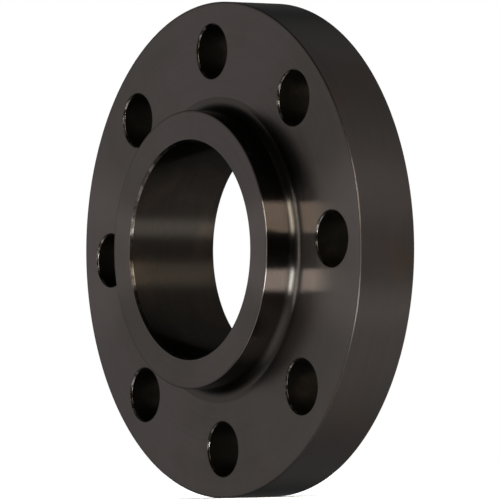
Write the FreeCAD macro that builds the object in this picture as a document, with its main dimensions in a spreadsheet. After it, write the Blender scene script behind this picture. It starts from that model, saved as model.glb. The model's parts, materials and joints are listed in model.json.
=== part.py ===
import FreeCAD, Part
import os
import Sketcher
from FreeCAD import Vector

# Slip-on pipe flange, DN 80 (3 inch) in the class 300 pattern, raised face.
#
# The real flange is a single steel forging: a thick disc with a short straight-sided hub. It is
# turned all over, bored right through for the pipe and drilled for its stud bolts, so the model is
# one body whose features follow the order of the machining.
#
# Frame, in millimetres: the flange stands on edge, as it does on a level pipe run. The origin is
# the centre of the bore in the plane of the raised gasket face. +Y points out of the gasket face,
# the hub points along -Y, and +Z is up. The bolt holes lie on the X and Z centre lines and midway
# between them.

# Driving dimensions: alias in the sheet, size, what it is
DRIVING_SIZES = [
    ("flange_dia", 209.6, "outside diameter of the disc"),
    ("disc_thickness", 26.8, "disc, without the raised face"),
    ("raised_face_dia", 127.0, "gasket face, outside diameter"),
    ("raised_face_height", 1.6, "gasket face, height above the disc"),
    ("hub_dia", 117.3, "straight-sided hub, outside diameter"),
    ("hub_projection", 14.5, "hub, from the disc to its end"),
    ("bore_dia", 90.7, "through bore, a clearance on the 88.9 mm pipe"),
    ("bolt_circle_dia", 168.3, "circle of the bolt holes"),
    ("bolt_hole_dia", 22.2, "clearance on a 3/4 inch stud bolt"),
    ("bolt_count", 8, "bolt holes, evenly spaced"),
    ("hub_root_fillet", 4.0, "radius where the hub meets the disc"),
    ("bore_mouth_chamfer", 1.0, "lead-in for the pipe at the hub's end"),
    ("bore_back_chamfer", 0.5, "edge of the bore in the gasket face"),
    ("rim_chamfer", 0.3, "both edges of the disc's rim"),
    ("hub_end_chamfer", 0.25, "outer edge of the hub's end"),
    ("raised_face_chamfer", 0.3, "outer edge of the gasket face"),
    ("bolt_hole_chamfer", 0.6, "both mouths of each bolt hole"),
]

MATCH_TOLERANCE = 1e-4  # how near an edge's radius and place must be to count as the wanted one


def fill_sheet(doc):
    """The sheet of driving dimensions: name, size and what it is, one row each."""
    sheet = doc.addObject("Spreadsheet::Sheet", "Sizes")
    for row, (alias, size, meaning) in enumerate(DRIVING_SIZES, start=1):
        sheet.set(f"A{row}", alias)
        sheet.set(f"B{row}", str(size))
        sheet.set(f"C{row}", meaning)
        sheet.setAlias(f"B{row}", alias)
    doc.recompute()
    return sheet


def origin_feature(body, role):
    """One of the body's own origin planes or axes."""
    return next(part for part in body.Origin.OriginFeatures if part.Role == role)


def new_sketch(body, name, plane_role):
    sketch = body.newObject("Sketcher::SketchObject", name)
    sketch.AttachmentSupport = [(origin_feature(body, plane_role), "")]
    sketch.MapMode = "FlatFace"
    return sketch


def draw_turned_outline(sketch, sides):
    """A closed outline of upright and level sides, each held at its distance from the origin.

    Each side is (name, "upright" or "level", expression for its distance, rough distance): an
    upright side is a cylinder at that radius and a level side is a face at that height.
    """
    count = len(sides)
    for index, side in enumerate(sides):
        before, after = sides[index - 1], sides[(index + 1) % count]
        if side[1] == "upright":
            start, end = Vector(side[3], before[3], 0), Vector(side[3], after[3], 0)
        else:
            start, end = Vector(before[3], side[3], 0), Vector(after[3], side[3], 0)
        sketch.addGeometry(Part.LineSegment(start, end), False)
    for index in range(count):
        sketch.addConstraint(Sketcher.Constraint("Coincident", index, 2, (index + 1) % count, 1))
    origin_point = (-1, 1)
    for index, (name, lie, expression, rough) in enumerate(sides):
        upright = lie == "upright"
        sketch.addConstraint(Sketcher.Constraint("Vertical" if upright else "Horizontal", index))
        if rough == 0:
            axis_of_sketch = -2 if upright else -1
            sketch.addConstraint(Sketcher.Constraint("PointOnObject", index, 1, axis_of_sketch))
            continue
        kind = "DistanceX" if upright else "DistanceY"
        ends = (index, 1) + origin_point if rough < 0 else origin_point + (index, 1)
        held = sketch.addConstraint(Sketcher.Constraint(kind, *ends, abs(rough)))
        sketch.renameConstraint(held, name)
        sketch.setExpression(f"Constraints.{name}", expression)


def circles_at(shape, radius, height):
    """Names of the shape's circular edges of that radius in the plane at that height along Y."""
    names = []
    for number, edge in enumerate(shape.Edges, start=1):
        curve = edge.Curve
        if not isinstance(curve, Part.Circle):
            continue
        if abs(curve.Radius - radius) > MATCH_TOLERANCE:
            continue
        if abs(curve.Center.y - height) > MATCH_TOLERANCE:
            continue
        names.append(f"Edge{number}")
    return names


def dress(body, kind, name, base, edges, size_alias):
    """A PartDesign fillet or chamfer on the named edges of the base feature."""
    if not edges:
        raise ValueError(f"{name}: no edge was found for it")
    feature = body.newObject(f"PartDesign::{kind}", name)
    feature.Base = (base, edges)
    size_property = "Radius" if kind == "Fillet" else "Size"
    feature.setExpression(size_property, f"Sizes.{size_alias}")
    body.Document.recompute()
    return feature


def turn_blank(body, sheet):
    """The forging as a turned solid: raised face, disc and hub, before it is bored."""
    disc_back = sheet.raised_face_height
    disc_front = disc_back + sheet.disc_thickness
    hub_end = disc_front + sheet.hub_projection
    sketch = new_sketch(body, "half_section", "XY_Plane")
    draw_turned_outline(
        sketch,
        [
            ("gasket_face", "level", "0", 0),
            ("raised_face_radius", "upright", "Sizes.raised_face_dia / 2",
             sheet.raised_face_dia / 2),
            ("disc_back", "level", "Sizes.raised_face_height", -disc_back),
            ("rim_radius", "upright", "Sizes.flange_dia / 2", sheet.flange_dia / 2),
            ("disc_front", "level", "Sizes.raised_face_height + Sizes.disc_thickness",
             -disc_front),
            ("hub_radius", "upright", "Sizes.hub_dia / 2", sheet.hub_dia / 2),
            ("hub_end", "level",
             "Sizes.raised_face_height + Sizes.disc_thickness + Sizes.hub_projection",
             -hub_end),
            ("centre_line", "upright", "0", 0),
        ],
    )
    blank = body.newObject("PartDesign::Revolution", "turned_blank")
    blank.Profile = sketch
    blank.ReferenceAxis = (sketch, ["V_Axis"])
    blank.Angle = 360
    body.Document.recompute()
    return blank


def break_outer_edges(body, sheet, blank):
    """The hub's root fillet and the small chamfers on the turned outside edges."""
    disc_back = -sheet.raised_face_height
    disc_front = disc_back - sheet.disc_thickness
    hub_end = disc_front - sheet.hub_projection
    hub_radius = sheet.hub_dia / 2
    rim_radius = sheet.flange_dia / 2

    root = circles_at(blank.Shape, hub_radius, disc_front)
    rounded = dress(body, "Fillet", "hub_root", blank, root, "hub_root_fillet")

    rim = circles_at(rounded.Shape, rim_radius, disc_front)
    rim += circles_at(rounded.Shape, rim_radius, disc_back)
    trimmed = dress(body, "Chamfer", "rim_edges", rounded, rim, "rim_chamfer")

    nose = circles_at(trimmed.Shape, hub_radius, hub_end)
    trimmed = dress(body, "Chamfer", "hub_end_edge", trimmed, nose, "hub_end_chamfer")

    step = circles_at(trimmed.Shape, sheet.raised_face_dia / 2, 0)
    return dress(body, "Chamfer", "raised_face_edge", trimmed, step, "raised_face_chamfer")


def draw_circle(sketch, radius, radius_expression, name):
    """A circle about the sketch's origin, its radius bound to the sheet."""
    sketch.addGeometry(Part.Circle(Vector(0, 0, 0), Vector(0, 0, 1), radius), False)
    sketch.addConstraint(Sketcher.Constraint("Coincident", 0, 3, -1, 1))
    held = sketch.addConstraint(Sketcher.Constraint("Radius", 0, radius))
    sketch.renameConstraint(held, name)
    sketch.setExpression(f"Constraints.{name}", radius_expression)


def bore_through(body, sheet, turned):
    """The straight bore for the pipe, chamfered at both ends."""
    hub_end = -(sheet.raised_face_height + sheet.disc_thickness + sheet.hub_projection)
    sketch = new_sketch(body, "bore_circle", "XZ_Plane")
    draw_circle(sketch, sheet.bore_dia / 2, "Sizes.bore_dia / 2", "bore_radius")
    bore = body.newObject("PartDesign::Pocket", "pipe_bore")
    bore.Profile = sketch
    bore.Type = "ThroughAll"
    bore.Midplane = True
    body.Document.recompute()
    check_cut(turned, bore)

    mouth = circles_at(bore.Shape, sheet.bore_dia / 2, hub_end)
    bored = dress(body, "Chamfer", "bore_mouth", bore, mouth, "bore_mouth_chamfer")
    back = circles_at(bored.Shape, sheet.bore_dia / 2, 0)
    return dress(body, "Chamfer", "bore_back_edge", bored, back, "bore_back_chamfer")


def drill_bolt_holes(body, sheet, bored):
    """One through hole on the bolt circle, repeated round the axis, then every mouth deburred."""
    bolt_radius = sheet.bolt_circle_dia / 2
    sketch = new_sketch(body, "first_bolt_hole", "XZ_Plane")
    centre = Vector(bolt_radius, 0, 0)
    hole_radius = sheet.bolt_hole_dia / 2
    sketch.addGeometry(Part.Circle(centre, Vector(0, 0, 1), hole_radius), False)
    sketch.addConstraint(Sketcher.Constraint("PointOnObject", 0, 3, -1))
    held = sketch.addConstraint(Sketcher.Constraint("DistanceX", -1, 1, 0, 3, bolt_radius))
    sketch.renameConstraint(held, "bolt_circle_radius")
    sketch.setExpression("Constraints.bolt_circle_radius", "Sizes.bolt_circle_dia / 2")
    held = sketch.addConstraint(Sketcher.Constraint("Radius", 0, hole_radius))
    sketch.renameConstraint(held, "hole_radius")
    sketch.setExpression("Constraints.hole_radius", "Sizes.bolt_hole_dia / 2")

    hole = body.newObject("PartDesign::Pocket", "bolt_hole")
    hole.Profile = sketch
    hole.Type = "ThroughAll"
    hole.Midplane = True
    body.Document.recompute()
    check_cut(bored, hole)

    holes = body.newObject("PartDesign::PolarPattern", "bolt_holes")
    holes.Originals = [hole]
    holes.Axis = (origin_feature(body, "Y_Axis"), [""])
    holes.Angle = 360
    holes.setExpression("Occurrences", "Sizes.bolt_count")
    body.Tip = holes
    body.Document.recompute()
    check_cut(hole, holes)

    disc_back = -sheet.raised_face_height
    disc_front = disc_back - sheet.disc_thickness
    mouths = circles_at(holes.Shape, hole_radius, disc_front)
    mouths += circles_at(holes.Shape, hole_radius, disc_back)
    if len(mouths) != 2 * int(sheet.bolt_count):
        raise ValueError(f"{len(mouths)} bolt hole mouths were found")
    return dress(body, "Chamfer", "bolt_hole_mouths", holes, mouths, "bolt_hole_chamfer")


def check_cut(before, after):
    """A cut that points away from the solid removes nothing and shows no error."""
    if after.Shape.Volume >= before.Shape.Volume:
        raise ValueError(f"{after.Name} removed nothing")


def check_document(doc, bodies):
    """Stops on any failed object, and on any body that is not one valid solid."""
    for item in doc.Objects:
        if "Invalid" in item.State or "Error" in item.State:
            raise ValueError(f"{item.Name} failed: {item.State}")
    for body in bodies:
        shape = body.Shape
        if shape.isNull() or not shape.isValid() or len(shape.Solids) != 1:
            raise ValueError(f"{body.Label} is not one valid solid")


def make_flange(doc, sheet):
    body = doc.addObject("PartDesign::Body", "FlangeForging")
    body.Label = "flange_forging"
    body.Placement = FreeCAD.Placement(Vector(0, 0, 0), FreeCAD.Rotation())
    blank = turn_blank(body, sheet)
    turned = break_outer_edges(body, sheet, blank)
    bored = bore_through(body, sheet, turned)
    body.Tip = drill_bolt_holes(body, sheet, bored)
    return body


def main():
    doc = FreeCAD.newDocument("slip_on_flange")
    sheet = fill_sheet(doc)
    bodies = [make_flange(doc, sheet)]
    doc.recompute()
    check_document(doc, bodies)
    os.makedirs("parts", exist_ok=True)
    for body in bodies:
        body.Shape.exportStep(f"parts/{body.Label}.step")
        box = body.Shape.BoundBox
        print(body.Label, f"{box.XLength:.2f} x {box.YLength:.2f} x {box.ZLength:.2f} mm,",
              f"{body.Shape.Volume:.0f} mm3")


main()
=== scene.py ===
"""Slip-on pipe flange: the look of the one-piece forging, turned, bored, drilled and varnished.

The flange stands on its rim. Its axis lies along Y, the hub faces -Y and the gasket face +Y.
The piece below is turned like the real one: an outline is swept round the axis, the two sides of
the disc are laid out round their bolt holes, and every edge is broken and slightly rounded.
"""
import json
import math

import bpy
from mathutils import Matrix, Vector


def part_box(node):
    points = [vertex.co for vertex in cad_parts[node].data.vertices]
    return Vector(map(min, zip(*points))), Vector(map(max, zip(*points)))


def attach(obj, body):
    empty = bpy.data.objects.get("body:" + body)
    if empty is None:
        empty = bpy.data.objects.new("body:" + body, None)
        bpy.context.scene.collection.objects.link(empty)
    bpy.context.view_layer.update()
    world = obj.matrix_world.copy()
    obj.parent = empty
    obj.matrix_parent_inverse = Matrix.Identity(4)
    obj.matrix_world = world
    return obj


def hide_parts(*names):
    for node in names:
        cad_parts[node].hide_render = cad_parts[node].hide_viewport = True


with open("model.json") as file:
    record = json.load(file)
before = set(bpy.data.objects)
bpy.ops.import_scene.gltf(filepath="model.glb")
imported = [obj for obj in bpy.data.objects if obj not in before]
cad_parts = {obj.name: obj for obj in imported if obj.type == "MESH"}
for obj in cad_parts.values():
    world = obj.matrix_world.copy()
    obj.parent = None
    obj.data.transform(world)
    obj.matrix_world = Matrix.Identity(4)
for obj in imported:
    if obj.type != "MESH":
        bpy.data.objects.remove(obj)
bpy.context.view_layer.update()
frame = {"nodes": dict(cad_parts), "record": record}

MM = 0.001

forging = frame["nodes"]["flange_forging"]
mounts = {mount["name"]: mount for mount in frame["record"]["mounts"]}


# ---------------------------------------------------------------- sizes, read from the forging

POINTS = [vertex.co.copy() for vertex in forging.data.vertices]
TURNED = [(math.hypot(point.x, point.z), point.y) for point in POINTS]
SLACK = 1e-6                 # how far off a flat side its own points may lie


def radii_between(low, high):
    """Smallest and largest radius of the forging's points between two places along the axis."""
    radii = [radius for radius, y in TURNED if low - SLACK <= y <= high + SLACK]
    return min(radii), max(radii)


def hole_mouth_radius():
    """Radius of the front mouth of the bolt hole on the X axis, over its chamfer."""
    return min(math.hypot(point.x - BOLT_CIRCLE, point.z) for point in POINTS
               if abs(point.y - DISC_FRONT) < SLACK)


GASKET_FACE = mounts["gasket_face"]["pos_m"][1]
DISC_FRONT = mounts["nut_face"]["pos_m"][1]
HUB_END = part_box("flange_forging")[0].y
BORE_RADIUS = mounts["pipe_bore"]["dims"]["r_mm"] * MM
BOLT_CIRCLE = mounts["bolt_holes"]["dims"]["pcd_mm"] / 2 * MM
BOLT_HOLE = mounts["bolt_holes"]["dims"]["hole_r_mm"] * MM
BOLT_COUNT = mounts["bolt_holes"]["dims"]["count"]
RIM_RADIUS = radii_between(HUB_END, GASKET_FACE)[1]
DISC_BACK = max(y for radius, y in TURNED if radius > BOLT_CIRCLE)
RAISED_RADIUS = radii_between(DISC_BACK / 2, GASKET_FACE)[1]
HUB_RADIUS = radii_between(HUB_END, (HUB_END + DISC_FRONT) / 2)[1]

FRONT_INNER, FRONT_OUTER = radii_between(DISC_FRONT, DISC_FRONT)
END_INNER, END_OUTER = radii_between(HUB_END, HUB_END)
FACE_INNER, FACE_OUTER = radii_between(GASKET_FACE, GASKET_FACE)
HUB_ROOT = FRONT_INNER - HUB_RADIUS         # fillet between the hub and the disc
RIM_CHAMFER = RIM_RADIUS - FRONT_OUTER
HUB_CHAMFER = HUB_RADIUS - END_OUTER
BORE_MOUTH = END_INNER - BORE_RADIUS        # chamfer where the pipe goes in
BORE_BACK = FACE_INNER - BORE_RADIUS        # chamfer between the bore and the gasket face
FACE_CHAMFER = RAISED_RADIUS - FACE_OUTER
BOLT_MOUTH = hole_mouth_radius() - BOLT_HOLE

EDGE_SOFTNESS = 0.3 * MM     # rounding left on both corners of a chamfer
STEP_ROOT = 0.3 * MM         # rounding at the root of the raised face
SERRATION_PITCH = 0.8 * MM   # feed of the tool that cuts the gasket face
SERRATION_DEPTH = 0.05 * MM

# Radii at which one stretch of the surface hands over to the next
RIM_SEAM = RIM_RADIUS - 3 * RIM_CHAMFER
ROOT_SEAM = FRONT_INNER + HUB_ROOT / 2
HUB_SEAM = END_OUTER - 2 * EDGE_SOFTNESS
MOUTH_SEAM = END_INNER + EDGE_SOFTNESS / 2
BACK_SEAM = FACE_INNER + EDGE_SOFTNESS
FACE_SEAM = FACE_OUTER - EDGE_SOFTNESS
STEP_SEAM = RAISED_RADIUS + 4 * STEP_ROOT
HOLE_SEAM = BOLT_HOLE + BOLT_MOUTH + EDGE_SOFTNESS   # from the hole's own axis

PER_HOLE = 32                # points of a turned ring for each bolt hole
AROUND = PER_HOLE * BOLT_COUNT
SPOKE = 10                   # steps along the line between two neighbouring holes
PER_GROOVE = 8               # steps across one groove of the gasket face
ARC_STEP = math.radians(11)  # the most that one step of a rounded corner turns


# ---------------------------------------------------------------- outlines

def blended(corners):
    """The points of an outline with its corners rounded: (radius, y), normal, rubbed and corner
    shade each.

    A corner is (radius, y, rounding, rubbed before, rubbed after). The solid is on the right of the
    outline's direction, so a normal points to the left. The first and last corner are the ends.
    Varnish pools in the concave corners, and their darkening there is also painted shade; handling
    rubs the convex ones.
    """
    points = []
    for index, (radius, y, rounding, rubbed_before, rubbed_after) in enumerate(corners):
        here = Vector((radius, y))
        into = (here - Vector(corners[index - 1][:2])).normalized() if index else None
        last = index == len(corners) - 1
        out = None if last else (Vector(corners[index + 1][:2]) - here).normalized()
        if into is None or out is None:
            along = out or into
            points.append((here, Vector((-along.y, along.x)), 0.0, 0.0))
            continue
        turn = into.angle_signed(out)  # positive to the right, which is a convex corner
        reach = rounding * math.tan(abs(turn) / 2)
        side = math.copysign(1, turn)
        start_normal = Vector((-into.y, into.x))
        centre = here - into * reach - start_normal * rounding * side
        steps = max(2, math.ceil(abs(turn) / ARC_STEP))
        for step in range(steps + 1):
            normal = start_normal.copy()
            normal.rotate(Matrix.Rotation(-turn * step / steps, 2))
            part = step / steps
            rubbed = rubbed_before + (rubbed_after - rubbed_before) * part
            # the concave corners' value: varnish pooling there, and painted shade that darkens them
            pooled_shade = 4 * part * (1 - part) if side < 0 else 0.0
            points.append((centre + normal * rounding * side, normal, rubbed, pooled_shade))
    return points


def broken(radius, y, size, before, after):
    """The two corners of a chamfer of that size, between the directions before and after it."""
    return [
        (radius - before[0] * size, y - before[1] * size, EDGE_SOFTNESS, 0, 1),
        (radius + after[0] * size, y + after[1] * size, EDGE_SOFTNESS, 1, 0),
    ]


OUTWARD, INWARD, TO_HUB, TO_FACE = (1, 0), (-1, 0), (0, -1), (0, 1)


def rim_outline():
    """From the back of the disc, round the rim, to its front."""
    return blended([
        (RIM_SEAM, DISC_BACK, 0, 0, 0),
        *broken(RIM_RADIUS, DISC_BACK, RIM_CHAMFER, OUTWARD, TO_HUB),
        *broken(RIM_RADIUS, DISC_FRONT, RIM_CHAMFER, TO_HUB, INWARD),
        (RIM_SEAM, DISC_FRONT, 0, 0, 0),
    ])


def hub_outline():
    """From the front of the disc over the fillet and the hub, to the edge of the hub's end."""
    return blended([
        (ROOT_SEAM, DISC_FRONT, 0, 0, 0),
        (HUB_RADIUS, DISC_FRONT, HUB_ROOT, 0, 0),
        *broken(HUB_RADIUS, HUB_END, HUB_CHAMFER, TO_HUB, INWARD),
        (HUB_SEAM, HUB_END, 0, 0, 0),
    ])


def hub_end_outline():
    """Across the hub's end, to the edge of the bore's mouth."""
    return blended([
        (HUB_SEAM, HUB_END, 0, 0, 0),
        (MOUTH_SEAM, HUB_END, 0, 0, 0),
    ])


def bore_outline():
    """Over the bore's mouth, through the bore and over its back edge to the gasket face."""
    return blended([
        (MOUTH_SEAM, HUB_END, 0, 0, 0),
        *broken(BORE_RADIUS, HUB_END, BORE_MOUTH, INWARD, TO_FACE),
        *broken(BORE_RADIUS, GASKET_FACE, BORE_BACK, TO_FACE, OUTWARD),
        (BACK_SEAM, GASKET_FACE, 0, 0, 0),
    ])


def serrated_outline():
    """Across the gasket face: shallow ring grooves, a feed of the facing tool apart."""
    width = FACE_SEAM - BACK_SEAM
    grooves = round(width / SERRATION_PITCH)
    steps = PER_GROOVE * grooves
    wave = 2 * math.pi * grooves / width
    points = []
    for step in range(steps + 1):
        radius = BACK_SEAM + width * step / steps
        phase = wave * (radius - BACK_SEAM)
        y = GASKET_FACE - SERRATION_DEPTH * (1 - math.cos(phase)) / 2
        slope = -SERRATION_DEPTH * wave * math.sin(phase) / 2
        points.append((Vector((radius, y)), Vector((-slope, 1)).normalized(), 0.0, 0.0))
    return points


def step_outline():
    """From the gasket face down its outer edge to the back of the disc."""
    return blended([
        (FACE_SEAM, GASKET_FACE, 0, 0, 0),
        *broken(RAISED_RADIUS, GASKET_FACE, FACE_CHAMFER, OUTWARD, TO_HUB),
        (RAISED_RADIUS, DISC_BACK, STEP_ROOT, 0, 0),
        (STEP_SEAM, DISC_BACK, 0, 0, 0),
    ])


def hole_outline():
    """Down one bolt hole, from the front to the back: (distance from the hole's axis, y)."""
    return blended([
        (HOLE_SEAM, DISC_FRONT, 0, 0, 0),
        *broken(BOLT_HOLE, DISC_FRONT, BOLT_MOUTH, INWARD, TO_FACE),
        *broken(BOLT_HOLE, DISC_BACK, BOLT_MOUTH, TO_FACE, OUTWARD),
        (HOLE_SEAM, DISC_BACK, 0, 0, 0),
    ])


# ---------------------------------------------------------------- the turned mesh

class TurnedMesh:
    """Points with exact normals, wear, corner varnish and painted shade, and faces with their
    finish.
    """

    def __init__(self):
        self.points = []
        self.normals = []
        self.rubbed = []
        self.pooled_shade = []
        self.faces = []
        self.finishes = []

    def add(self, point, normal, rubbed=0.0, pooled_shade=0.0):
        """Adds one point and returns its number."""
        self.points.append(point)
        self.normals.append(normal)
        self.rubbed.append(rubbed)
        self.pooled_shade.append(pooled_shade)
        return len(self.points) - 1

    def loop(self, outline_point, angles, centre=(0.0, 0.0)):
        """A ring of points round an axis parallel to Y."""
        (radius, y), (across, along), rubbed, pooled_shade = outline_point
        ring = []
        for angle in angles:
            cos, sin = math.cos(angle), math.sin(angle)
            point = (centre[0] + radius * cos, y, centre[1] + radius * sin)
            ring.append(self.add(point, (across * cos, along, across * sin), rubbed, pooled_shade))
        return ring

    def band(self, ring, next_ring, finish):
        """Quads between two closed rings; the outline runs from the first to the second."""
        for index in range(len(ring)):
            after = (index + 1) % len(ring)
            self.faces.append((ring[index], ring[after], next_ring[after], next_ring[index]))
            self.finishes.append(finish)

    def sweep(self, outline, angles, finish, centre=(0.0, 0.0), first=None):
        """Sweeps an outline round an axis, from its neighbour's ring if there is one.

        Returns the first and the last ring.
        """
        first = first or self.loop(outline[0], angles, centre)
        ring = first
        for outline_point in outline[1:]:
            next_ring = self.loop(outline_point, angles, centre)
            self.band(ring, next_ring, finish)
            ring = next_ring
        return first, ring


def disc_side(mesh, facing, inner_ring, outer_ring, hole_rings):
    """One flat side of the disc: a patch round each bolt hole, between the two turned rings.

    facing is 1 for the side that faces along +Y, and -1 for the other.
    """
    normal = (0.0, facing, 0.0)
    spokes = []
    for hole in range(BOLT_COUNT):
        at = (hole * PER_HOLE + PER_HOLE // 2) % AROUND
        outer, inner = Vector(mesh.points[outer_ring[at]]), Vector(mesh.points[inner_ring[at]])
        spoke = [outer_ring[at]]
        for step in range(1, SPOKE):
            spoke.append(mesh.add(tuple(outer.lerp(inner, step / SPOKE)), normal))
        spokes.append(spoke + [inner_ring[at]])
    for hole in range(BOLT_COUNT):
        start = hole * PER_HOLE - PER_HOLE // 2
        steps = range(PER_HOLE)
        boundary = [outer_ring[(start + step) % AROUND] for step in steps]
        boundary += spokes[hole][:-1]
        boundary += [inner_ring[(start + PER_HOLE - step) % AROUND] for step in steps]
        boundary += spokes[hole - 1][:0:-1]
        ring = hole_rings[hole]
        if facing > 0:
            mesh.band(ring, boundary, "faced_disc")
        else:
            mesh.band(boundary, ring, "faced_disc")


def patch_angles(hole, inner_radius, outer_radius):
    """The angles of the points round a bolt hole's patch, seen from its centre, and that centre."""
    half = math.pi / BOLT_COUNT
    middle = 2 * math.pi * hole / BOLT_COUNT
    arc = [middle - half + 2 * half * step / PER_HOLE for step in range(PER_HOLE + 1)]
    polar = [(outer_radius, angle) for angle in arc[:-1]]
    polar += [(outer_radius + (inner_radius - outer_radius) * step / SPOKE, middle + half)
              for step in range(SPOKE)]
    polar += [(inner_radius, angle) for angle in arc[:0:-1]]
    polar += [(inner_radius + (outer_radius - inner_radius) * step / SPOKE, middle - half)
              for step in range(SPOKE)]
    centre = BOLT_CIRCLE * Vector((math.cos(middle), math.sin(middle)))
    angles = []
    for radius, angle in polar:
        away = radius * Vector((math.cos(angle), math.sin(angle))) - centre
        angles.append(math.atan2(away.y, away.x))
    return angles, centre


def turn_flange():
    """The whole surface of the forging as one closed mesh."""
    mesh = TurnedMesh()
    around = [2 * math.pi * step / AROUND for step in range(AROUND)]
    rim_back, rim_front = mesh.sweep(rim_outline(), around, "turned_rim")
    hub_front, hub_nose = mesh.sweep(hub_outline(), around, "turned_hub")
    _, end_inside = mesh.sweep(hub_end_outline(), around, "faced_disc", first=hub_nose)
    _, bore_back = mesh.sweep(bore_outline(), around, "bored_pipe_seat", first=end_inside)
    _, face_edge = mesh.sweep(
        serrated_outline(), around, "serrated_gasket_face", first=bore_back)
    _, step_back = mesh.sweep(step_outline(), around, "faced_disc", first=face_edge)

    front_rings, back_rings = [], []
    inner = math.hypot(*mesh.points[hub_front[0]][::2])
    outer = math.hypot(*mesh.points[rim_front[0]][::2])
    for hole in range(BOLT_COUNT):
        angles, centre = patch_angles(hole, inner, outer)
        front, back = mesh.sweep(hole_outline(), angles, "drilled_bolt_hole", centre)
        front_rings.append(front)
        back_rings.append(back)
    disc_side(mesh, -1.0, hub_front, rim_front, front_rings)
    disc_side(mesh, 1.0, step_back, rim_back, back_rings)
    return mesh


def add_object(name, data):
    """Puts a mesh, a light or a camera in the scene."""
    thing = bpy.data.objects.new(name, data)
    bpy.context.scene.collection.objects.link(thing)
    return thing


def make_piece(mesh, materials):
    """The flange as one piece, with its finishes, its exact normals and its edge values."""
    names = [material.name for material in materials]
    data = bpy.data.meshes.new("machined_flange")
    data.from_pydata(mesh.points, [], mesh.faces)
    for material in materials:
        data.materials.append(material)
    slots = [names.index(finish) for finish in mesh.finishes]
    data.polygons.foreach_set("material_index", slots)
    data.polygons.foreach_set("use_smooth", [True] * len(mesh.faces))
    for name, values in (("rubbed_edge", mesh.rubbed), ("pooled_varnish_shade", mesh.pooled_shade)):
        data.attributes.new(name, "FLOAT", "POINT").data.foreach_set("value", values)
    data.normals_split_custom_set_from_vertices(mesh.normals)
    data.update()
    return add_object("machined_flange", data)


# ---------------------------------------------------------------- finishes

def new_group(name, inputs, outputs):
    """A node group with only its sockets, all plain numbers; inputs come with their values."""
    group = bpy.data.node_groups.new(name, "ShaderNodeTree")
    for label, value in inputs.items():
        socket = group.interface.new_socket(label, in_out="INPUT", socket_type="NodeSocketFloat")
        socket.default_value = value
    for label in outputs:
        group.interface.new_socket(label, in_out="OUTPUT", socket_type="NodeSocketFloat")
    given = group.nodes.new("NodeGroupInput").outputs
    result = group.nodes.new("NodeGroupOutput").inputs
    return group, given, result


def plug(tree, value, socket):
    """Links an output to a socket, or sets a plain value on it."""
    if isinstance(value, bpy.types.NodeSocket):
        tree.links.new(value, socket)
    else:
        socket.default_value = value


def calc(tree, operation, *values):
    """The result of one sum on sockets or plain values."""
    node = tree.nodes.new("ShaderNodeMath")
    node.operation = operation
    for value, socket in zip(values, node.inputs):
        plug(tree, value, socket)
    return node.outputs["Value"]


def ramp(tree, value, low, high, bottom=0.0, top=1.0):
    """A value eased from bottom to top while it goes from low to high."""
    node = tree.nodes.new("ShaderNodeMapRange")
    node.interpolation_type = "SMOOTHSTEP"
    sockets = ("Value", "From Min", "From Max", "To Min", "To Max")
    for label, given in zip(sockets, (value, low, high, bottom, top)):
        plug(tree, given, node.inputs[label])
    return node.outputs["Result"]


def noise(tree, place, scale, detail, distortion=0.0, depth=None):
    """Soft random values over a place, with a fourth measure of depth if one is given."""
    node = tree.nodes.new("ShaderNodeTexNoise")
    if depth is not None:
        node.noise_dimensions = "4D"
        plug(tree, depth, node.inputs["W"])
    node.inputs["Detail"].default_value = detail
    node.inputs["Distortion"].default_value = distortion
    plug(tree, scale, node.inputs["Scale"])
    tree.links.new(place, node.inputs["Vector"])
    return node.outputs["Fac"]


def place_on_flange(tree):
    """The point of the flange itself, so that no pattern slides over it."""
    return tree.nodes.new("ShaderNodeTexCoord").outputs["Object"]


def make_turning_lines():
    """The rings a turning tool leaves, on a face or on a cylinder round the flange's axis."""
    group, given, result = new_group("turning_lines", {"Feed": 0.6 * MM}, ["Lines"])
    split = group.nodes.new("ShaderNodeSeparateXYZ")
    group.links.new(place_on_flange(group), split.inputs[0])
    x, y, z = split.outputs
    squares = calc(group, "ADD", calc(group, "MULTIPLY", x, x), calc(group, "MULTIPLY", z, z))
    radius = calc(group, "SQRT", squares)
    ring = group.nodes.new("ShaderNodeCombineXYZ")
    plug(group, calc(group, "DIVIDE", radius, given["Feed"]), ring.inputs[0])
    plug(group, calc(group, "DIVIDE", x, radius), ring.inputs[1])
    plug(group, calc(group, "DIVIDE", z, radius), ring.inputs[2])
    along = calc(group, "DIVIDE", y, given["Feed"])
    lines = noise(group, ring.outputs[0], scale=1.0, detail=3.0, depth=along)
    plug(group, lines, result["Lines"])
    return group


VARNISH_RUN = 1.0            # which of the many ways the varnish may have run
SAG_WIDTH = 5                # how many times wider than a patch a sag of the varnish is
SAG_SHARE = 1.6              # weights of the sags and the patches in the film's thickness
PATCH_SHARE = 0.6
SPECKS_PER_SPOT = 8.0        # how many times finer than its spot the rust's speckle is


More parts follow.
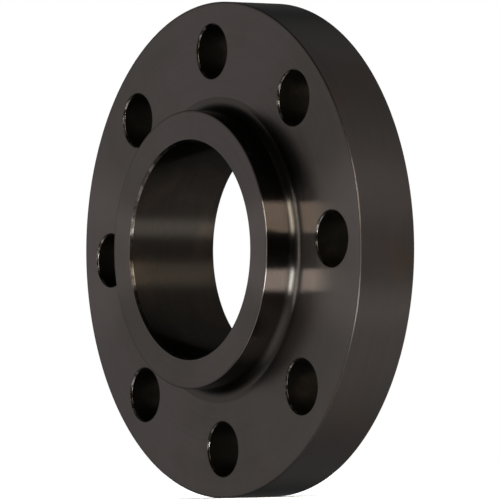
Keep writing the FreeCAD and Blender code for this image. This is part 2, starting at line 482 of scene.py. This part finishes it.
def make_varnish_film():
    """The thin dark varnish against rust: where it lies thick, how its surface ripples, and the
    concave corners, darkened as varnish and painted shade.
    """
    group, given, result = new_group("varnish_film", {"Patch": 22 * MM, "Ripple": 5 * MM},
                                     ["Thick", "PooledShade", "Ripple"])
    place = place_on_flange(group)
    patch_scale = calc(group, "DIVIDE", 1.0, given["Patch"])
    sag_scale = calc(group, "DIVIDE", 1 / SAG_WIDTH, given["Patch"])
    ripple_scale = calc(group, "DIVIDE", 1.0, given["Ripple"])
    patch = noise(group, place, patch_scale, detail=4.0, distortion=0.8)
    sag = noise(group, place, sag_scale, detail=1.0, depth=VARNISH_RUN)
    ripple = noise(group, place, ripple_scale, detail=2.0, distortion=0.3)
    patches = calc(group, "MULTIPLY", patch, PATCH_SHARE)
    film = calc(group, "MULTIPLY_ADD", sag, SAG_SHARE, patches)
    plug(group, ramp(group, film, low=0.85, high=1.35), result["Thick"])
    plug(group, ripple, result["Ripple"])
    corner = group.nodes.new("ShaderNodeAttribute")
    corner.attribute_name = "pooled_varnish_shade"
    plug(group, corner.outputs["Fac"], result["PooledShade"])
    return group


def make_edge_wear():
    """The convex edges, and where on them handling has rubbed the varnish thin."""
    group, given, result = new_group("edge_wear", {"Amount": 0.5, "Grain": 4 * MM},
                                     ["Edge", "Rubbed"])
    edge = group.nodes.new("ShaderNodeAttribute")
    edge.attribute_name = "rubbed_edge"
    grain_scale = calc(group, "DIVIDE", 1.0, given["Grain"])
    grain = noise(group, place_on_flange(group), grain_scale, detail=5.0)
    worn = ramp(group, grain, low=0.42, high=0.62)
    rubbed = calc(group, "MULTIPLY", edge.outputs["Fac"], worn)
    plug(group, edge.outputs["Fac"], result["Edge"])
    plug(group, calc(group, "MULTIPLY", rubbed, given["Amount"]), result["Rubbed"])
    return group


def make_rust_bloom():
    """Faint brown bloom under the varnish, in a few soft spots with a speckled middle."""
    group, given, result = new_group("rust_bloom", {"Spread": 18 * MM, "Amount": 0.3}, ["Rust"])
    place = place_on_flange(group)
    spot_scale = calc(group, "DIVIDE", 1.0, given["Spread"])
    speck_scale = calc(group, "DIVIDE", SPECKS_PER_SPOT, given["Spread"])
    spot = noise(group, place, spot_scale, detail=2.0, distortion=0.4)
    speck = noise(group, place, speck_scale, detail=4.0)
    spots = ramp(group, spot, low=0.50, high=0.70)
    specks = ramp(group, speck, low=0.3, high=0.7, bottom=0.4)
    speckled = calc(group, "MULTIPLY", spots, specks)
    plug(group, calc(group, "MULTIPLY", speckled, given["Amount"]), result["Rust"])
    return group


turning_lines = make_turning_lines()
varnish_film = make_varnish_film()
edge_wear = make_edge_wear()
rust_bloom = make_rust_bloom()

RUBBED_STEEL = (0.11, 0.10, 0.095)   # steel at an edge where the varnish is rubbed thin
RUST_BROWN = (0.064, 0.042, 0.028)
# colour of the concave corners: varnish pooling there, and painted shade
POOLED_VARNISH_SHADE = (0.018, 0.016, 0.014)
POOLED_ROUGHNESS = 0.25
EDGE_ROUGHNESS = 0.19
FILM_SHARE = 0.7             # how much the film and the tool's lines each shade the colour
LINE_SHARE = 0.3
LINE_ROUGHNESS = 0.02        # how much rougher the crest of a tool's line is than its groove
RUST_ROUGHNESS = 0.06        # what full rust adds


def placed(tree, group, **values):
    """Puts a group in a material with its own values and returns its outputs."""
    node = tree.nodes.new("ShaderNodeGroup")
    node.node_tree = group
    for label, value in values.items():
        node.inputs[label].default_value = value
    return node.outputs


def blend_colour(tree, mask, first, second):
    """The first colour where the mask is 0, the second where it is 1."""
    node = tree.nodes.new("ShaderNodeMix")
    node.data_type = "RGBA"
    plug(tree, mask, node.inputs["Factor"])
    for socket, colour in ((node.inputs["A"], first), (node.inputs["B"], second)):
        plug(tree, colour if isinstance(colour, bpy.types.NodeSocket) else (*colour, 1), socket)
    return node.outputs["Result"]


def raised(tree, height, depth, normal=None):
    """A normal for a surface that rises by depth where the height goes from 0 to 1."""
    node = tree.nodes.new("ShaderNodeBump")
    node.inputs["Distance"].default_value = depth
    plug(tree, height, node.inputs["Height"])
    if normal:
        plug(tree, normal, node.inputs["Normal"])
    return node.outputs["Normal"]


def varnished_steel(name, thin, thick, rough, feed, line_depth, ripple_depth, rust, wear,
                    graze=0.75, edge_rough=EDGE_ROUGHNESS, grooved=True):
    """Machined steel under its varnish.

    thin and thick are its colours under a thin and a thick film, and rough is its roughness under
    each. graze is how much of the light it mirrors at a flat angle, edge_rough the roughness of its
    broken edges. The tool's grooves smear a reflection across them, unless grooved is off.
    """
    material = bpy.data.materials.new(name)
    material.use_nodes = True
    tree = material.node_tree
    shader = tree.nodes["Principled BSDF"]
    lines = placed(tree, turning_lines, Feed=feed)["Lines"]
    film = placed(tree, varnish_film)
    edge = placed(tree, edge_wear, Amount=wear)
    bloom = placed(tree, rust_bloom, Amount=rust)["Rust"]

    ridges = ramp(tree, lines, low=0.3, high=0.7)
    film_tone = calc(tree, "MULTIPLY", film["Thick"], FILM_SHARE)
    tone = calc(tree, "ADD", film_tone, calc(tree, "MULTIPLY", ridges, LINE_SHARE))
    colour = blend_colour(tree, tone, thin, thick)
    colour = blend_colour(tree, bloom, colour, RUST_BROWN)
    # darkens the concave corners: varnish pooling there, and painted shade
    colour = blend_colour(tree, film["PooledShade"], colour, POOLED_VARNISH_SHADE)
    colour = blend_colour(tree, edge["Rubbed"], colour, RUBBED_STEEL)
    plug(tree, colour, shader.inputs["Base Color"])

    rough_thin, rough_thick = rough
    uneven = calc(tree, "MULTIPLY_ADD", ridges, LINE_ROUGHNESS, rough_thin - LINE_ROUGHNESS / 2)
    uneven = calc(tree, "MULTIPLY_ADD", film["Thick"], rough_thick - rough_thin, uneven)
    uneven = calc(tree, "MULTIPLY_ADD", bloom, RUST_ROUGHNESS, uneven)
    uneven = ramp(tree, film["PooledShade"], low=0, high=1, bottom=uneven, top=POOLED_ROUGHNESS)
    uneven = ramp(tree, edge["Edge"], low=0, high=1, bottom=uneven, top=edge_rough)
    plug(tree, uneven, shader.inputs["Roughness"])

    normal = raised(tree, film["Ripple"], ripple_depth)
    plug(tree, raised(tree, lines, line_depth, normal), shader.inputs["Normal"])
    shader.inputs["Metallic"].default_value = 1
    shader.inputs["Specular Tint"].default_value = (graze, graze, graze, 1)
    if grooved:
        shader.inputs["Anisotropic"].default_value = 1
        shader.inputs["Anisotropic Rotation"].default_value = 0.25
        tangent = tree.nodes.new("ShaderNodeTangent")
        tangent.direction_type = "RADIAL"
        tangent.axis = "Y"
        tree.links.new(tangent.outputs["Tangent"], shader.inputs["Tangent"])
    return material


materials = [
    varnished_steel(
        "faced_disc",
        thin=(0.088, 0.075, 0.072), thick=(0.066, 0.058, 0.052), rough=(0.152, 0.166),
        feed=0.9 * MM, line_depth=0.002 * MM, ripple_depth=0.03 * MM, rust=0.15, wear=0.4),
    varnished_steel(
        "turned_rim",
        thin=(0.058, 0.048, 0.045), thick=(0.046, 0.040, 0.036), rough=(0.15, 0.17),
        feed=1.2 * MM, line_depth=0.003 * MM, ripple_depth=0.03 * MM, rust=0.6, wear=0.15,
        edge_rough=0.65),
    varnished_steel(
        "turned_hub",
        thin=(0.058, 0.050, 0.046), thick=(0.053, 0.046, 0.042), rough=(0.163, 0.172),
        feed=0.7 * MM, line_depth=0.001 * MM, ripple_depth=0.01 * MM, rust=0.05, wear=0.15),
    # The bore's colours, darker than the turned faces', and its low graze are painted shade inside
    # the bore.
    varnished_steel(
        "bored_pipe_seat",
        thin=(0.023, 0.0195, 0.0165), thick=(0.018, 0.015, 0.012), rough=(0.26, 0.30),
        feed=1.0 * MM, line_depth=0.002 * MM, ripple_depth=0.02 * MM, rust=0.2, wear=0.4,
        graze=0.6),
    # The bolt holes' colours, far darker than the faces', are painted shade inside the holes.
    varnished_steel(
        "drilled_bolt_hole",
        thin=(0.011, 0.009, 0.007), thick=(0.008, 0.007, 0.005), rough=(0.36, 0.44),
        feed=1.5 * MM, line_depth=0.02 * MM, ripple_depth=0.02 * MM, rust=0.2, wear=1.0,
        grooved=False),
    varnished_steel(
        "serrated_gasket_face",
        thin=(0.060, 0.052, 0.048), thick=(0.050, 0.043, 0.039), rough=(0.19, 0.21),
        feed=0.8 * MM, line_depth=0.002 * MM, ripple_depth=0.02 * MM, rust=0.1, wear=0.4),
]
piece = make_piece(turn_flange(), materials)
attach(piece, "root")
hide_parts("flange_forging")


# ---------------------------------------------------------------- stand, lights and camera

# The flange has bolt holes on its centre lines. It is shown leaning a little about its axis, and
# for that the camera and the lights lean instead of the flange.
LEAN = Matrix.Rotation(math.radians(3.27), 3, "Y")
MIDDLE = Vector((0, DISC_FRONT, 0))
VIEW_TURN = math.radians(55.98)    # camera's place round the flange, from straight in front
VIEW_ROLL = math.radians(0.219)
VIEW_DISTANCE = 18.35 * RIM_RADIUS
VIEW_SHIFT = 0.1323 * RIM_RADIUS   # the camera looks past the flange's middle by this much
LENS = 327.8
WINDOW_DISTANCE = 1.5
FLOOR_SIZE = 12
PALE_GREY = (0.85, 0.85, 0.85, 1)
WHITE = (1, 1, 1, 1)


def toward(turn, rise):
    """Direction away from the flange, by its turn from straight in front and its rise."""
    turn, rise = math.radians(turn), math.radians(rise)
    ahead = -math.cos(turn) * math.cos(rise)
    return LEAN @ Vector((math.sin(turn) * math.cos(rise), ahead, math.sin(rise)))


def make_camera():
    """A long lens, aimed a little past the flange's middle."""
    to_camera = Vector((math.sin(VIEW_TURN), -math.cos(VIEW_TURN), 0))
    to_right = Vector((math.cos(VIEW_TURN), math.sin(VIEW_TURN), 0))
    up = Vector((0, 0, 1))
    data = bpy.data.cameras.new("view")
    data.lens = LENS
    data.sensor_width = 36
    data.clip_start = 0.1
    data.clip_end = 50
    camera = add_object("view", data)
    place = MIDDLE + to_camera * VIEW_DISTANCE + to_right * VIEW_SHIFT
    right = to_right * math.cos(VIEW_ROLL) + up * math.sin(VIEW_ROLL)
    over = up * math.cos(VIEW_ROLL) - to_right * math.sin(VIEW_ROLL)
    axes = Matrix((LEAN @ right, LEAN @ over, LEAN @ to_camera)).transposed()
    camera.matrix_world = Matrix.Translation(LEAN @ place) @ axes.to_4x4()
    bpy.context.scene.camera = camera


def make_window(name, turn, rise, width, height, radiance, tint=(1, 1, 1)):
    """A lit window that faces the flange, and which the camera doesn't see."""
    data = bpy.data.lights.new(name, "AREA")
    data.shape = "RECTANGLE"
    data.size, data.size_y = width, height
    data.energy = radiance * math.pi * width * height
    data.color = tint
    light = add_object(name, data)
    away = toward(turn, rise)
    light.matrix_world = (
        Matrix.Translation(MIDDLE + away * WINDOW_DISTANCE)
        @ away.to_track_quat("Z", "Y").to_matrix().to_4x4()
    )
    light.visible_camera = False


def make_floor():
    """A plain pale floor under the rim. The flange neither mirrors it nor stands in its shade."""
    bpy.ops.mesh.primitive_plane_add(size=FLOOR_SIZE, location=(0, 0, -RIM_RADIUS))
    floor = bpy.context.object
    floor.name = "floor"
    material = bpy.data.materials.new("pale_floor")
    material.use_nodes = True
    shader = material.node_tree.nodes["Principled BSDF"]
    shader.inputs["Base Color"].default_value = PALE_GREY
    shader.inputs["Roughness"].default_value = 0.9
    floor.data.materials.append(material)
    floor.visible_glossy = False
    floor.visible_shadow = False


def make_floor_light():
    """Wide light from above, for the floor alone: the flange doesn't mirror it."""
    data = bpy.data.lights.new("overhead", "SUN")
    data.energy = 5.0
    data.angle = math.radians(120)
    light = add_object("overhead", data)
    light.visible_glossy = False


def pale_wall(tree, direction, name, turn, rise, full, fade, radiance):
    """Light of one pale wall: even up to full degrees from its middle, gone at fade degrees."""
    facing = tree.nodes.new("ShaderNodeVectorMath")
    facing.label = name
    facing.operation = "DOT_PRODUCT"
    facing.inputs[1].default_value = toward(turn, rise)
    plug(tree, direction, facing.inputs[0])
    gone, even = math.cos(math.radians(fade)), math.cos(math.radians(full))
    return ramp(tree, facing.outputs["Value"], low=gone, high=even, top=radiance)


def studio_walls(tree):
    """Light from all the walls of the studio together, by direction."""
    direction = tree.nodes.new("ShaderNodeTexCoord").outputs["Generated"]

    def wall(name, **values):
        return pale_wall(tree, direction, name, **values)

    walls = [
        wall("ceiling", turn=0, rise=90, full=0, fade=179, radiance=0.03),
        wall("whole_front", turn=30, rise=0, full=20, fade=100, radiance=0.09),
        wall("left_of_front", turn=-60, rise=-3, full=8, fade=38, radiance=0.61),
        wall("low_right", turn=110, rise=-45, full=20, fade=60, radiance=0.31),
        wall("back", turn=155, rise=0, full=20, fade=60, radiance=0.60),
        wall("high_back", turn=160, rise=40, full=20, fade=60, radiance=0.41),
        wall("low_front", turn=-10, rise=-25, full=10, fade=50, radiance=0.65),
        wall("far_left", turn=-125, rise=0, full=10, fade=50, radiance=0.06),
        wall("low_back", turn=163, rise=-58, full=20, fade=60, radiance=0.39),
        wall("bright_sheet_below", turn=25, rise=-52, full=12, fade=32, radiance=2.1),
    ]
    total = walls[0]
    for part in walls[1:]:
        total = calc(tree, "ADD", total, part)
    return total


def make_world():
    """The studio's walls round the flange, and plain white where the camera looks past it."""
    world = bpy.data.worlds.new("studio")
    bpy.context.scene.world = world
    world.use_nodes = True
    tree = world.node_tree
    tree.nodes.clear()
    path = tree.nodes.new("ShaderNodeLightPath")
    seen = tree.nodes.new("ShaderNodeBackground")
    surround = tree.nodes.new("ShaderNodeBackground")
    seen.inputs["Color"].default_value = WHITE
    surround.inputs["Color"].default_value = WHITE
    plug(tree, studio_walls(tree), surround.inputs["Strength"])
    mix = tree.nodes.new("ShaderNodeMixShader")
    output = tree.nodes.new("ShaderNodeOutputWorld")
    plug(tree, path.outputs["Is Camera Ray"], mix.inputs["Fac"])
    plug(tree, surround.outputs["Background"], mix.inputs[1])
    plug(tree, seen.outputs["Background"], mix.inputs[2])
    plug(tree, mix.outputs["Shader"], output.inputs["Surface"])


make_camera()
make_floor()
make_world()
make_floor_light()
make_window("upper_window", turn=56, rise=22.5, width=0.53, height=0.556, radiance=42.0,
            tint=(1.0, 0.96, 0.84))
make_window("lower_window", turn=56, rise=-20.2, width=0.53, height=0.384, radiance=76.0,
            tint=(0.95, 0.99, 1.0))
make_window("side_window", turn=-9, rise=0, width=0.4, height=0.8, radiance=18.0)
bpy.context.scene.view_settings.view_transform = "Standard"
